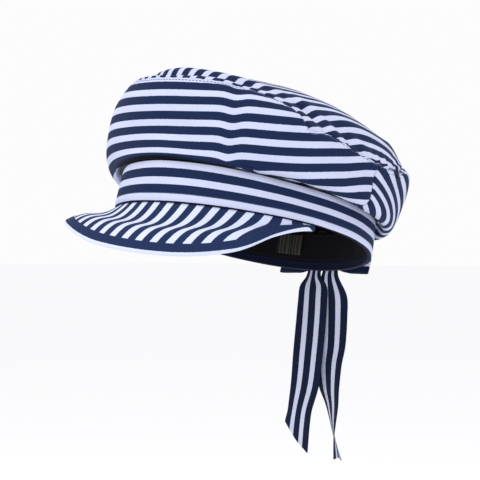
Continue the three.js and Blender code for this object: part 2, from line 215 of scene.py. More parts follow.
# Dents and puffs of the crown: direction, ring, width in degrees, height in rings, lean in
# degrees a ring and depth in mm, with puffs below 0.
FOLDS = [
    (-54, 3.6, 34, 1.5, 0, -6.4),
    (-46, 1.9, 20, 1.0, 0, 1.8),
    (33, 5.2, 4, 1.8, 0, 0.7),
    (34, 7.0, 8, 0.9, 0, 1.8),
    (64, 6.9, 3.5, 0.9, 7, 2.2),
    (72, 6.9, 5, 0.8, 7, -1.6),
    (84, 6.4, 4, 0.5, 8, 1.6),
    (90, 6.6, 4, 0.5, 8, -1.2),
    (118, 5.2, 7, 1.2, 0, 2.2),
    (128, 5.8, 12, 0.8, 0, -1.6),
    (144, 4.6, 7, 1.6, 0, 2.0),
    (168, 4.4, 7, 1.6, 0, 2.2),
    (-166, 4.6, 7, 1.6, 0, 2.2),
    (-140, 4.4, 8, 1.6, 0, 2.0),
    (-104, 5.0, 8, 1.2, 0, 2.0),
    (-25, 7.2, 9, 0.7, 0, 1.6),
]


def ring_at(index, t):
    """Radius, height and sideways slope of one ring; past the pole it is mirrored."""
    i, sign = (2 * POLE - index, -1) if index > POLE else (max(index, 0), 1)
    seam = rim_radius(t) + CROWN_PUFF * around(RINGS[SEAM][0], t)
    if i <= SEAM:
        puff, rise, flop = RINGS[i]
        r = rim_radius(t) + CROWN_PUFF * around(puff, t)
    else:
        share, rise = TOP_RINGS[i - SEAM - 1]
        r, flop = seam * share, 1
    return r * sign, BAND_HEIGHT + (CROWN_HEIGHT - BAND_HEIGHT) * around(rise, t), flop


def crown_form(t, v):
    """The crown's smooth form; v counts the rings from the band to the pole, and each place
    between two rings follows the four rings around it."""
    i = np.minimum(np.floor(v).astype(int), POLE - 1)
    f = v - i
    rings = [ring_at(k, t) for k in range(-1, POLE + 2)]
    weights = [
        0.5 * (-f + 2 * f**2 - f**3),
        0.5 * (2 - 5 * f**2 + 3 * f**3),
        0.5 * (f + 4 * f**2 - 3 * f**3),
        0.5 * (f**3 - f**2),
    ]

    def blend(column):
        table = np.stack([ring[column] + 0 * t for ring in rings])
        return sum(
            w * np.take_along_axis(table, (i + k)[None], 0)[0] for k, w in enumerate(weights)
        )

    p = polar(blend(0), t, blend(1))
    p[..., 2] -= CROWN_FLOP * blend(2) * p[..., 0]
    return p


def normals(form, t, v, top):
    """Outward directions of a form whose second way runs from 0 to top."""
    e = SLOPE_STEP
    w = np.clip(v, e, top - e)
    across = form(t + e, w) - form(t - e, w)
    up = form(t, w + e) - form(t, w - e)
    n = np.cross(across, up)
    return n / np.maximum(np.linalg.norm(n, axis=-1, keepdims=True), 1e-12)


# The tuck near the left side seam: direction, depth in rings and width before and behind it.
TUCK_AT = 63.5
TUCK_DEPTH = 1.0
TUCK_BEFORE = 3.5
TUCK_BEHIND = 6.5


def seam_ring(t):
    """Ring of the crown's top seam; the tuck near the left side pulls it down."""
    d = turn_from(t, TUCK_AT)
    return SEAM - TUCK_DEPTH * np.exp(-((d / np.where(d < 0, TUCK_BEFORE, TUCK_BEHIND)) ** 2))


def fold_depth(t, v):
    depth = np.zeros_like(t)
    for at, ring, wide, tall, lean, deep in FOLDS:
        b = (v - ring) / tall
        a = (turn_from(t, at) + lean * (v - ring)) / wide
        depth += deep / 1000 * np.exp(-a * a - b * b)
    return depth


GATHER_DEPTH = 0.00016
SLACK_DEPTH = 0.0002
HEM_DEPTH = 0.0024
HEM_RING = 2.1


def pucker(t, v):
    """Small gathers along the top seam, deepest at the left side seam, and a faint unevenness
    of the whole cloth."""
    near = swell(v, seam_ring(t), 0.4)
    gathers = np.sin(83 * t) + 0.7 * np.sin(61 * t + 1) + 0.5 * np.sin(137 * t + 2)
    slack = np.sin(5 * t + 1.3 * v) + np.sin(8 * t - 1.9 * v + 1) + 0.6 * np.sin(13 * t + 2.6 * v + 2)
    fade = np.clip((POLE - v) / 3, 0, 1)
    left = 1 + 3.5 * swell(turn_from(t, 112), 0, 28)
    return GATHER_DEPTH * near * gathers * left + SLACK_DEPTH * slack * fade


def hem(t, v):
    """The crown's lower edge bellies out over the band, most at the front."""
    front = 0.5 + 0.5 * np.cos(t)
    return HEM_DEPTH * (0.35 + 0.65 * front) * swell(v, HEM_RING, 0.65)


def crown(t, v):
    n = normals(crown_form, t, v, POLE)
    return crown_form(t, v) - n * (fold_depth(t, v) + pucker(t, v) - hem(t, v))[..., None]


def length_table():
    """Lengths of the crown's cloth up from the band, on a grid of directions and rings."""
    directions = np.linspace(-math.pi, math.pi, 721)
    t, v = np.meshgrid(directions, np.linspace(0, POLE, 441), indexing="ij")
    steps = np.linalg.norm(np.diff(crown_form(t, v), axis=1), axis=-1)
    return np.concatenate([np.zeros((len(t), 1)), np.cumsum(steps, 1)], 1)


LENGTHS = length_table()


def length_at(t, v):
    """Length of the cloth from the band up to ring v, read between the table's entries."""
    rows, cols = LENGTHS.shape
    a = (np.mod(t + math.pi, 2 * math.pi) / (2 * math.pi)) * (rows - 1)
    b = np.clip(v / POLE, 0, 1) * (cols - 1)
    i = np.minimum(a.astype(int), rows - 2)
    j = np.minimum(b.astype(int), cols - 2)
    f, g = a - i, b - j
    low = LENGTHS[i, j] * (1 - g) + LENGTHS[i, j + 1] * g
    high = LENGTHS[i + 1, j] * (1 - g) + LENGTHS[i + 1, j + 1] * g
    return low * (1 - f) + high * f


def climb(t, v, start):
    """Length of the cloth between rings start and v, along one direction."""
    return np.abs(length_at(t, v) - length_at(t, start))


def band(t, v, inset=0.0):
    """The band's outer side, or a face further in; v runs from the rim to the crown."""
    r = rim_radius(t) - BAND_LEAN * v - inset
    return polar(r, t, rim_dip(t) + (BAND_HEIGHT - rim_dip(t)) * v)


# Cloth pieces

def cloth(name, cols, rows, place, spread, thickness, wrap=False, edge=None, foot=None):
    """A flat grid laid out by its places: place(u, v) gives each point on the cap, spread(u, v)
    its place on the flat cloth along and across the stripes, edge(u, v) its place along and
    away from the nearest stitched seam, and foot(u, v) along and up from the band, all in
    metres. A piece that wraps round has its ends joined."""
    bpy.ops.object.select_all(action="DESELECT")
    bpy.ops.mesh.primitive_grid_add(x_subdivisions=cols, y_subdivisions=rows, size=1)
    piece = bpy.context.object
    piece.name = piece.data.name = name
    mesh = piece.data
    flat = np.zeros(len(mesh.vertices) * 3, np.float32)
    mesh.vertices.foreach_get("co", flat)
    u, v = (np.clip(flat.reshape(-1, 3)[:, k].astype(float) + 0.5, 0, 1) for k in (0, 1))
    mesh.vertices.foreach_set("co", place(u, v).astype(np.float32).ravel())
    for old in [layer.name for layer in mesh.uv_layers]:
        mesh.uv_layers.remove(mesh.uv_layers[old])
    lay_map(mesh, "cloth", np.stack(spread(u, v), -1))
    if edge:
        lay_map(mesh, "seam", np.stack(edge(u, v), -1))
    if foot:
        lay_map(mesh, "foot", np.stack(foot(u, v), -1))
    if wrap:
        bpy.ops.object.mode_set(mode="EDIT")
        bpy.ops.mesh.select_all(action="SELECT")
        bpy.ops.mesh.remove_doubles(threshold=1e-6)
        bpy.ops.object.mode_set(mode="OBJECT")
    mesh.update()
    thicken(piece, thickness)
    bpy.ops.object.shade_smooth()
    return piece


def lay_map(mesh, name, places):
    layer = mesh.uv_layers.new(name=name)
    corners = np.zeros(len(mesh.loops), np.int32)
    mesh.loops.foreach_get("vertex_index", corners)
    layer.data.foreach_set("uv", places[corners].astype(np.float32).ravel())


def thicken(piece, thickness):
    """Turns a sheet of faces into cloth of its own thickness, inwards."""
    bpy.context.view_layer.objects.active = piece
    piece.select_set(True)
    modifier = piece.modifiers.new("thickness", "SOLIDIFY")
    modifier.thickness = thickness
    modifier.offset = -1
    bpy.ops.object.modifier_apply(modifier=modifier.name)


def dress(piece, paint, node):
    """Gives the piece its cloth and puts it in the place of its node of the part."""
    piece.data.materials.clear()
    piece.data.materials.append(paint)
    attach(piece, "root")
    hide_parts(node)


# Materials

FLOAT, COLOR, VECTOR = "NodeSocketFloat", "NodeSocketColor", "NodeSocketVector"
PALE = (0.585, 0.625, 0.83, 1)
NAVY = (0.0105, 0.0215, 0.07, 1)
PEAK_NAVY = (0.0145, 0.028, 0.088, 1)
PEAK_PALE = (0.66, 0.715, 0.93, 1)
RIBBON_NAVY = (0.006, 0.0115, 0.037, 1)
RIBBON_PALE = (0.57, 0.60, 0.76, 1)
TAPE_NAVY = (0.005, 0.008, 0.026, 1)
BLACK = (0.006, 0.006, 0.008, 1)
THREAD = (0.10, 0.12, 0.22, 1)
DARK_THREAD = (0.012, 0.012, 0.016, 1)
LABEL_BLACK = (0.010, 0.010, 0.010, 1)
LABEL_GREY = (0.055, 0.055, 0.05, 1)
LABEL_GREEN = (0.018, 0.034, 0.018, 1)
LABEL_RED = (0.05, 0.017, 0.014, 1)


def group(name, inputs, outputs):
    tree = bpy.data.node_groups.new(name, "ShaderNodeTree")
    for label, kind, value in inputs:
        socket = tree.interface.new_socket(label, in_out="INPUT", socket_type=kind)
        if value is not None:
            socket.default_value = value
    for label, kind in outputs:
        tree.interface.new_socket(label, in_out="OUTPUT", socket_type=kind)
    return tree, tree.nodes.new("NodeGroupInput"), tree.nodes.new("NodeGroupOutput")


def math_node(tree, operation, *values):
    node = tree.nodes.new("ShaderNodeMath")
    node.operation = operation
    for k, value in enumerate(values):
        if isinstance(value, (int, float)):
            node.inputs[k].default_value = value
        else:
            tree.links.new(value, node.inputs[k])
    return node.outputs[0]


def noise_node(tree, where, scale, detail):
    node = tree.nodes.new("ShaderNodeTexNoise")
    node.inputs["Scale"].default_value = scale
    node.inputs["Detail"].default_value = detail
    tree.links.new(where, node.inputs["Vector"])
    return node.outputs[0]


def separate_node(tree, where):
    """The two places that a map gives: along the cloth and across it."""
    node = tree.nodes.new("ShaderNodeSeparateXYZ")
    tree.links.new(where, node.inputs[0])
    return node.outputs[0], node.outputs[1]


def blend_node(tree, kind, factor, first, second):
    node = tree.nodes.new("ShaderNodeMix")
    node.data_type = "RGBA"
    node.blend_type = kind
    sockets = (node.inputs["Factor"], node.inputs[6], node.inputs[7])
    for socket, value in zip(sockets, (factor, first, second)):
        if isinstance(value, (int, float, tuple)):
            socket.default_value = value
        else:
            tree.links.new(value, socket)
    return node.outputs[2]


def stripe_group():
    """Navy and pale stripes across the cloth, with edges as uneven as the threads."""
    tree, given, out = group(
        "woven stripes",
        [
            ("Cloth", VECTOR, None),
            ("Pair", FLOAT, STRIPE_PAIR),
            ("Shift", FLOAT, 0.0),
            ("Navy share", FLOAT, 0.5),
            ("Pale", COLOR, None),
            ("Navy", COLOR, None),
        ],
        [("Color", COLOR), ("Navy mask", FLOAT)],
    )
    y = separate_node(tree, given.outputs["Cloth"])[1]
    noise = noise_node(tree, given.outputs["Cloth"], 1100, 2)
    wobble = math_node(tree, "MULTIPLY", math_node(tree, "SUBTRACT", noise, 0.5), 0.0006)
    across = math_node(tree, "ADD", y, wobble)
    across = math_node(tree, "ADD", across, given.outputs["Shift"])
    part = math_node(tree, "FRACT", math_node(tree, "DIVIDE", across, given.outputs["Pair"]))
    off = math_node(tree, "ABSOLUTE", math_node(tree, "SUBTRACT", part, 0.5))
    edge = math_node(tree, "MULTIPLY", given.outputs["Navy share"], 0.5)
    ramp = tree.nodes.new("ShaderNodeMapRange")
    ramp.interpolation_type = "SMOOTHSTEP"
    tree.links.new(off, ramp.inputs["Value"])
    tree.links.new(math_node(tree, "ADD", edge, 0.012), ramp.inputs["From Min"])
    tree.links.new(math_node(tree, "SUBTRACT", edge, 0.012), ramp.inputs["From Max"])
    navy = ramp.outputs["Result"]
    color = blend_node(tree, "MIX", navy, given.outputs["Pale"], given.outputs["Navy"])
    tree.links.new(color, out.inputs["Color"])
    tree.links.new(navy, out.inputs["Navy mask"])
    return tree


def weave_group():
    """Twill threads: fine slanting ribs, uneven yarn, small slubs and soft creasing. Its Shade
    darkens the colour where the threads and creases lie low: painted shade in the weave's hollows and
    creases, and the yarn's uneven tone.
    """
    tree, given, out = group(
        "twill weave",
        [("Cloth", VECTOR, None), ("Thread", FLOAT, 0.0006), ("Slant", FLOAT, 1.0)],
        [("Height", FLOAT), ("Shade", FLOAT)],
    )
    x, y = separate_node(tree, given.outputs["Cloth"])

    def wave(value, step):
        turns = math_node(tree, "DIVIDE", value, step)
        return math_node(tree, "SINE", math_node(tree, "MULTIPLY", turns, 2 * math.pi))

    def uneven(scale):
        return math_node(tree, "SUBTRACT", noise_node(tree, given.outputs["Cloth"], scale, 3), 0.5)

    thread = given.outputs["Thread"]
    slanted = math_node(tree, "ADD", x, math_node(tree, "MULTIPLY", y, given.outputs["Slant"]))
    rib = wave(slanted, math_node(tree, "MULTIPLY", thread, 1.6))
    yarn = math_node(tree, "MULTIPLY", wave(x, thread), wave(y, thread))
    ribs = math_node(tree, "MULTIPLY", rib, 0.35)
    threads = math_node(tree, "ADD", ribs, math_node(tree, "MULTIPLY", yarn, 0.3))
    fine = math_node(tree, "ADD", threads, uneven(1400))
    crease = uneven(45)
    height = math_node(tree, "ADD", fine, math_node(tree, "MULTIPLY", crease, 7))
    tree.links.new(height, out.inputs["Height"])
    # Painted shade in the creases' hollows, with a random mottle of the cloth's tone.
    crease_shade_and_mottle = math_node(tree, "ADD", math_node(tree, "MULTIPLY", crease, 0.12), 1)
    shade = math_node(tree, "ADD", math_node(tree, "MULTIPLY", fine, 0.08), crease_shade_and_mottle)
    tree.links.new(shade, out.inputs["Shade"])
    return tree


def stitch_group():
    """A row of stitches along a seam: x runs along it and y is the distance away from it."""
    tree, given, out = group(
        "stitch row",
        [
            ("Seam", VECTOR, None),
            ("Place", FLOAT, 0.002),
            ("Length", FLOAT, 0.0026),
            ("Width", FLOAT, 0.0004),
        ],
        [("Mask", FLOAT)],
    )
    x, y = separate_node(tree, given.outputs["Seam"])
    off = math_node(tree, "ABSOLUTE", math_node(tree, "SUBTRACT", y, given.outputs["Place"]))
    close = math_node(tree, "SUBTRACT", 1, math_node(tree, "DIVIDE", off, given.outputs["Width"]))
    part = math_node(tree, "FRACT", math_node(tree, "DIVIDE", x, given.outputs["Length"]))
    run = math_node(tree, "LESS_THAN", part, 0.68)
    height = math_node(tree, "MAXIMUM", math_node(tree, "MULTIPLY", close, run), 0)
    mask = math_node(tree, "MINIMUM", math_node(tree, "MULTIPLY", height, 2.5), 1)
    tree.links.new(mask, out.inputs["Mask"])
    return tree


def painted_band_shade_group():
    """Painted shade on the crown's cloth next to the band, darkest lowest: y is the distance up from
    the band.
    """
    tree, given, out = group("painted shade above band", [("Foot", VECTOR, None)], [("Light", FLOAT)])
    ramp = tree.nodes.new("ShaderNodeMapRange")
    ramp.interpolation_type = "SMOOTHSTEP"
    tree.links.new(separate_node(tree, given.outputs["Foot"])[1], ramp.inputs["Value"])
    # Painted shade: colour falls to 8% within 2.4 mm of the band and is full again by 3.9 mm.
    ramp.inputs["From Min"].default_value = 0.0024
    ramp.inputs["From Max"].default_value = 0.0039
    ramp.inputs["To Min"].default_value = 0.08
    ramp.inputs["To Max"].default_value = 1.0
    tree.links.new(ramp.outputs["Result"], out.inputs["Light"])
    return tree


STRIPES = stripe_group()
TWILL = weave_group()
STITCHES = stitch_group()
PAINTED_BAND_SHADE = painted_band_shade_group()


def group_node(tree, kind, **values):
    node = tree.nodes.new("ShaderNodeGroup")
    node.node_tree = kind
    for label, value in values.items():
        socket = node.inputs[label.replace("_", " ").capitalize()]
        if isinstance(value, (int, float, tuple)):
            socket.default_value = value
        else:
            tree.links.new(value, socket)
    return node


def map_node(tree, name):
    node = tree.nodes.new("ShaderNodeUVMap")
    node.uv_map = name
    return node.outputs[0]


def new_paint(name):
    paint = bpy.data.materials.new(name)
    paint.use_nodes = True
    return paint, paint.node_tree, paint.node_tree.nodes["Principled BSDF"]


def finish_paint(tree, shader, color, height, relief=0.00006, roughness=0.85):
    """Dull cloth, with the weave's height as a fine relief."""
    tree.links.new(color, shader.inputs["Base Color"])
    bump = tree.nodes.new("ShaderNodeBump")
    bump.inputs["Distance"].default_value = relief
    bump.inputs["Strength"].default_value = 0.7
    tree.links.new(height, bump.inputs["Height"])
    tree.links.new(bump.outputs[0], shader.inputs["Normal"])
    shader.inputs["Roughness"].default_value = roughness
    shader.inputs["Specular IOR Level"].default_value = 0.08
    shader.inputs["Sheen Weight"].default_value = 0.03
    shader.inputs["Sheen Roughness"].default_value = 0.5


def sew(tree, color, height, rows, thread):
    """Rows of stitches on the cloth, each with the map that it follows and its place there."""
    for layer, place in rows:
        mask = group_node(tree, STITCHES, seam=map_node(tree, layer), place=place).outputs["Mask"]
        color = blend_node(tree, "MIX", mask, color, thread)
        height = math_node(tree, "ADD", height, math_node(tree, "MULTIPLY", mask, 5))
    return color, height


def striped_paint(
    name,
    navy=NAVY,
    pale=PALE,
    pair=STRIPE_PAIR,
    shift=0.0,
    share=0.56,
    thread=0.0006,
    stitches=(),
    foot=None,
):
    """Striped woven cloth on the piece's cloth map, with painted shade near its foot if it has one.
    """
    paint, tree, shader = new_paint(name)
    where = map_node(tree, "cloth")
    stripes = group_node(
        tree, STRIPES, cloth=where, pair=pair, shift=shift, navy_share=share, pale=pale, navy=navy
    )
    twill = group_node(tree, TWILL, cloth=where, thread=thread)
    color = blend_node(tree, "MULTIPLY", 1.0, stripes.outputs["Color"], twill.outputs["Shade"])
    color, height = sew(tree, color, twill.outputs["Height"], stitches, THREAD)
    if foot:
        # Painted shade along the cloth's lower edge, from the foot map's distance up from the band.
        band_shade = group_node(tree, PAINTED_BAND_SHADE, foot=map_node(tree, foot))
        color = blend_node(tree, "MULTIPLY", 1.0, color, band_shade.outputs["Light"])
    finish_paint(tree, shader, color, height)
    return paint


def plain_paint(name, tint, stitches=()):
    """One-coloured woven cloth on the piece's cloth map."""
    paint, tree, shader = new_paint(name)
    twill = group_node(tree, TWILL, cloth=map_node(tree, "cloth"), thread=0.0007)
    color = blend_node(tree, "MULTIPLY", 1.0, tint, twill.outputs["Shade"])
    color, height = sew(tree, color, twill.outputs["Height"], stitches, DARK_THREAD)
    finish_paint(tree, shader, color, height)
    return paint


# Crown

# How far the front panel's stripes run above the band's line, in mm, every 20 degrees from
# the right side to the left.
STRIPE_RISE = [26, 18, 10, 3.0, -2.6, -4.9, -4.8, 0.6, 10.4, 23.4, 37.5]
CLOTH_RADIUS = 0.104  # of the crown, to measure along its stripes and stitches
BACK_RADIUS = 0.108
SIDE_RADIUS = 0.1  # to measure the distance from the side seams
SEAM_GAP = 0.006  # between two panels at the top seam, as a share of a ring
SIDE_GAP = 0.001  # between a panel and the side seam, as an angle
SEAM_STITCHES = [("seam", 0.0026)]


def stripe_rise(t):
    mm = through(STRIPE_RISE, (np.degrees(t) + 100) / 20)
    return (mm - 1.8 * swell(turn_from(t, 33), 0, 3.5)) / 1000


def seam_roll(distance):
    """Cloth turns in where it is stitched to its neighbour."""
    return 0.0008 * swell(distance, 0, 0.0013)


def close_rows(v):
    """Puts the rows closer together towards the seam at v = 1."""
    return v + 0.12 * np.sin(math.pi * v)


def rolled(t, ring, distance):
    n = normals(crown_form, t, ring, POLE)
    return crown(t, ring) - n * seam_roll(distance)[..., None]


def make_front():
    turn = 2 * SIDE_SEAM

    def spots(u, v):
        t = (u - 0.5) * turn
        return t, close_rows(v) * (seam_ring(t) - SEAM_GAP)

    def place(u, v):
        t, ring = spots(u, v)
        side = SIDE_RADIUS * (SIDE_SEAM - np.abs(t))
        return tipped(rolled(t, ring, np.minimum(climb(t, seam_ring(t), ring), side)))

    def spread(u, v):
        """The stripes follow the band, a little closer together over the middle of the front."""
        t, ring = spots(u, v)
        closer = 1 + 0.04 * swell(turn_from(t, 8), 0, 30)
        return t * CLOTH_RADIUS, climb(t, ring, 0) * closer - stripe_rise(t)

    def edge(u, v):
        t, ring = spots(u, v)
        return t * CLOTH_RADIUS, climb(t, seam_ring(t), ring)

    def foot(u, v):
        """Over the wearer's right the crown hangs lower, so its painted shade reaches higher."""
        t, ring = spots(u, v)
        lower = 0.5 * swell(turn_from(t, -48), 0, 24)
        return t * CLOTH_RADIUS, climb(t, ring, 0) * (1 - lower)

    piece = cloth("front_panel", 340, 84, place, spread, CROWN_CLOTH, edge=edge, foot=foot)
    # The foot map carries painted shade along the crown's lower edge.
    paint = striped_paint("crown cotton", shift=0.00885, stitches=SEAM_STITCHES, foot="foot")
    dress(piece, paint, "crown_front")


# The back panel's stripes: their slant round the back as shares of the way round and the way
# up, where they start, and how they close up and climb near the side seams.
BACK_ROUND = 0.62
BACK_UP = 0.78
BACK_START = 0.0297
SIDE_CLOSING = 0.136
SIDE_CLIMB = 1.63
SIDE_EASE = 6.2


def make_back():
    turn = 2 * math.pi - 2 * SIDE_SEAM

    def spots(u, v):
        t = SIDE_SEAM + SIDE_GAP + u * (turn - 2 * SIDE_GAP)
        return t, close_rows(v) * (SEAM - SEAM_GAP)

    def place(u, v):
        t, ring = spots(u, v)
        side = SIDE_RADIUS * np.minimum(t - SIDE_SEAM, SIDE_SEAM + turn - t)
        away = np.minimum(climb(t, SEAM + 0 * t, ring), side)
        return tipped(rolled(t, ring, away))

    def spread(u, v):
        """Stripes curve up from the band beside the left side seam and run slanting behind."""
        t, ring = spots(u, v)
        side = (math.pi - t) / (turn / 2)
        behind = (t - math.pi) * BACK_RADIUS
        above = climb(t, ring, 0)
        by_seam = behind * (1 - SIDE_CLOSING * side**2)
        by_seam += side * above * (SIDE_CLIMB - SIDE_EASE * above)
        further = BACK_ROUND * behind + BACK_UP * above - BACK_START
        return above, further + (by_seam - further) * smoothstep(side, 0.45, 0.75)

    def edge(u, v):
        t, ring = spots(u, v)
        return t * CLOTH_RADIUS, climb(t, SEAM + 0 * t, ring)

    def foot(u, v):
        t, ring = spots(u, v)
        return t * CLOTH_RADIUS, climb(t, ring, 0)

    piece = cloth("back_panel", 300, 84, place, spread, CROWN_CLOTH, edge=edge, foot=foot)
    # The foot map carries painted shade along the crown's lower edge.
    paint = striped_paint("back cotton", shift=0.0048, stitches=SEAM_STITCHES, foot="foot")
    dress(piece, paint, "crown_back")


# The top panel's stripes: how far from its middle they close up, how fast, beyond that their
# even spacing and their drift, and how deep they sag in the front's dent.
TOP_CLOSING = 0.072
TOP_RATE = 18.5
TOP_BEYOND = 1.02
TOP_DRIFT = 0.08
TOP_DENT = 0.0033


def make_top():
    def spots(u, v):
        t = u * 2 * math.pi
        start = seam_ring(t) + SEAM_GAP
        return t, start + (1 - close_rows(1 - v)) * (POLE - start)

    def place(u, v):
        t, ring = spots(u, v)
        return tipped(rolled(t, ring, climb(t, ring, seam_ring(t))))

    def spread(u, v):
        t, ring = spots(u, v)
        reach = climb(t, POLE + 0 * t, ring)
        along = -reach * np.cos(t)
        across = reach * np.sin(t)
        near = np.clip(across, -TOP_CLOSING, TOP_CLOSING)
        closing = near * (1 + TOP_RATE * near**2) + TOP_BEYOND * (across - near)
        dent = TOP_DENT * swell(turn_from(t, 31), 0, 9) * swell(ring, SEAM, 1.6)
        outer = np.clip((np.abs(across) - 0.05) / 0.03, 0, 1) * np.sign(across)
        return along, closing + TOP_DRIFT * along * outer - dent

    piece = cloth("top_panel", 480, 64, place, spread, CROWN_CLOTH, wrap=True)
    paint = striped_paint("top cotton", pair=0.0104, shift=0.0052)
    dress(piece, paint, "crown_top")


# Band and what is inside it

BAND_ROUND = 0.58  # lengths of the cloth round the head
SWEATBAND_ROUND = 0.55
TAPE_ROUND = 0.56
TAPE_HEIGHT = 0.006
SWEATBAND_HEIGHT = 0.02
SWEATBAND_TOP = 0.97  # as a share of the band's height
INSIDE_CLOTH = 0.0011
INSIDE_BAND = BAND_CLOTH + CLEARANCE
TAPE_SHARE = TAPE_HEIGHT / BAND_HEIGHT
RIM_ROLL = 0.0007
BAND_TOP_ROLL = 0.0005
STITCH_DENT = 0.00025
BAND_STITCHES = [("cloth", 0.0052)]
SWEATBAND_STITCHES = [("cloth", 0.0185)]


def make_band():
    def place(u, v):
        t = u * 2 * math.pi
        rim = RIM_ROLL * swell(v, 0, 0.045) + BAND_TOP_ROLL * swell(v, 1, 0.06)
        stitched = STITCH_DENT * swell(v, 0.2, 0.035)
        slack = 0.0002 * np.sin(9 * t + 4 * v) + 0.00015 * np.sin(17 * t - 3 * v)
        return tipped(band(t, v, rim + stitched + slack))

    def spread(u, v):
        return u * BAND_ROUND, v * BAND_HEIGHT

    piece = cloth("head_band", 460, 40, place, spread, BAND_CLOTH, wrap=True)
    pair = BAND_HEIGHT / 2.5
    paint = striped_paint("band cotton", pair=pair, shift=-pair / 4, stitches=BAND_STITCHES)
    dress(piece, paint, "headband")


def make_sweatband():
    def place(u, v):
        t = u * 2 * math.pi
        low = TAPE_SHARE + CLEARANCE / BAND_HEIGHT
        height = low + (SWEATBAND_TOP - low) * v
        roll = 0.0001 * swell(v, 1, 0.07)
        ease = 0.00025 * (1 + np.sin(31 * t + 2 * v))
        return tipped(band(t, height, INSIDE_BAND + ease - roll))

    def spread(u, v):
        return u * SWEATBAND_ROUND, v * SWEATBAND_HEIGHT

    piece = cloth("sweat_band", 300, 20, place, spread, INSIDE_CLOTH, wrap=True)
    paint = plain_paint("black cotton tape", BLACK, SWEATBAND_STITCHES)
    dress(piece, paint, "sweatband")


def make_tape():
    def place(u, v):
        t = u * 2 * math.pi
        belly = 0.0003 * np.sin(math.pi * v)
        return tipped(band(t, TAPE_SHARE * v, INSIDE_BAND - belly))

    def spread(u, v):
        return u * TAPE_ROUND, v * TAPE_HEIGHT

    piece = cloth("rim_binding", 300, 8, place, spread, INSIDE_CLOTH, wrap=True)
    dress(piece, plain_paint("navy tape", TAPE_NAVY), "rim_tape")


LINING_CLOTH = 0.0009
LINING_INSET = CROWN_CLOTH + 3 * CLEARANCE
LINING_REACH = 0.16  # from the crown's middle down to the band


def make_lining():
    def place(u, v):
        t = u * 2 * math.pi
        ring = 1 + v * (POLE - 1)
        n = normals(crown_form, t, ring, POLE)
        fade = np.clip((POLE - ring) / 4, 0, 1)
        ease = 0.0003 * (1 + np.sin(37 * t) * np.sin(2 * ring)) * fade
        return tipped(crown(t, ring) - n * (LINING_INSET + ease)[..., None])

    def spread(u, v):
        t = u * 2 * math.pi
        return v * LINING_REACH * np.cos(t), v * LINING_REACH * np.sin(t)

    piece = cloth("crown_lining_cloth", 260, 60, place, spread, LINING_CLOTH, wrap=True)
    dress(piece, plain_paint("black lining", BLACK), "crown_lining")


LABEL_MIDDLE = math.radians(198)
LABEL_WIDTH = 0.022
LABEL_HEIGHT = 0.0143
LABEL_LOW = 0.36  # as shares of the band's height
LABEL_TALL = 0.54
LABEL_CLOTH = 0.0006
LABEL_INSET = 0.0040


def make_label():
    """A small woven patch, with streaks across it as its only pattern."""

    def place(u, v):
        t = LABEL_MIDDLE + (u - 0.5) * LABEL_WIDTH / (RIM_LENGTH / 2)
        lift = 0.0004 * np.sin(math.pi * v) + 0.0002 * np.sin(5 * u)
        return tipped(band(t, LABEL_LOW + LABEL_TALL * v, LABEL_INSET + lift))

    def spread(u, v):
        return u * LABEL_WIDTH, v * LABEL_HEIGHT

    piece = cloth("care_label", 40, 24, place, spread, LABEL_CLOTH)
    paint, tree, shader = new_paint("label weave")
    where = map_node(tree, "cloth")
    lines = tree.nodes.new("ShaderNodeCombineXYZ")
    tree.links.new(separate_node(tree, where)[0], lines.inputs[0])
    twill = group_node(tree, TWILL, cloth=where, thread=0.0004)

    def streaks(scale, least):
        return math_node(tree, "GREATER_THAN", noise_node(tree, lines.outputs[0], scale, 1), least)

    color = blend_node(tree, "MIX", streaks(700, 0.5), LABEL_BLACK, LABEL_GREY)
    color = blend_node(tree, "MIX", streaks(480, 0.6), color, LABEL_GREEN)
    color = blend_node(tree, "MIX", streaks(390, 0.62), color, LABEL_RED)
    color = blend_node(tree, "MULTIPLY", 1.0, color, twill.outputs["Shade"])
    finish_paint(tree, shader, color, twill.outputs["Height"], relief=0.00005, roughness=0.8)
    dress(piece, paint, "inner_label")


# Peak

PEAK_HALF = math.radians(78)
PEAK_REACH = 0.036
PEAK_DROP = 0.0385
PEAK_BOARD = 0.0026
PEAK_TUCK = 0.0018
PEAK_SAG = 0.09
PEAK_SIDE = 0.075  # from the peak's middle to its ends, across the front
PEAK_DEPTH = 0.05  # of its cloth, from the band to the edge
PEAK_CLOSING = 0.27  # of the stripes towards the ends, beside the band
PEAK_EASING = 0.14  # less at the edge
PEAK_DRIFT = 0.0042
BINDING_WIDTH = 0.0055
BINDING_ROUND = 0.24
BINDING_CLOTH = 0.0004
BINDING_LIFT = 0.0005
# Reach and drop of the peak's edge from its right end to its left, as shares.
PEAK_REACHES = [0.05, 0.26, 0.63, 0.91, 0.905, 0.845, 0.64, 0.15, 0.05]
PEAK_DROPS = [0.02, 0.02, 0.225, 0.515, 0.94, 1.04, 0.8, 0.315, 0.04]
LEAST_REACH = 0.04
LEAST_DROP = 0.02


def peak(t, u):
    """The peak's upper side; u runs from the band out to its edge."""
    e = SLOPE_STEP
    along = band(t + e, 0 * t) - band(t - e, 0 * t)
    along[..., 2] = 0
    along /= np.linalg.norm(along, axis=-1, keepdims=True)
    out = np.stack([along[..., 1], -along[..., 0], 0 * t], -1)
    row = (t / PEAK_HALF + 1) / 2 * (len(PEAK_REACHES) - 1)
    reach = PEAK_TUCK + PEAK_REACH * np.maximum(through(PEAK_REACHES, row), LEAST_REACH)
    p = band(t, 0 * t) + out * (reach * u - PEAK_TUCK)[..., None]
    sag = u + PEAK_SAG * np.sin(2 * math.pi * u)
    p[..., 2] -= 2 * CLEARANCE + PEAK_DROP * np.maximum(through(PEAK_DROPS, row), LEAST_DROP) * sag
    return p


def peak_up(t, u):
    return -normals(peak, t, u, 1)


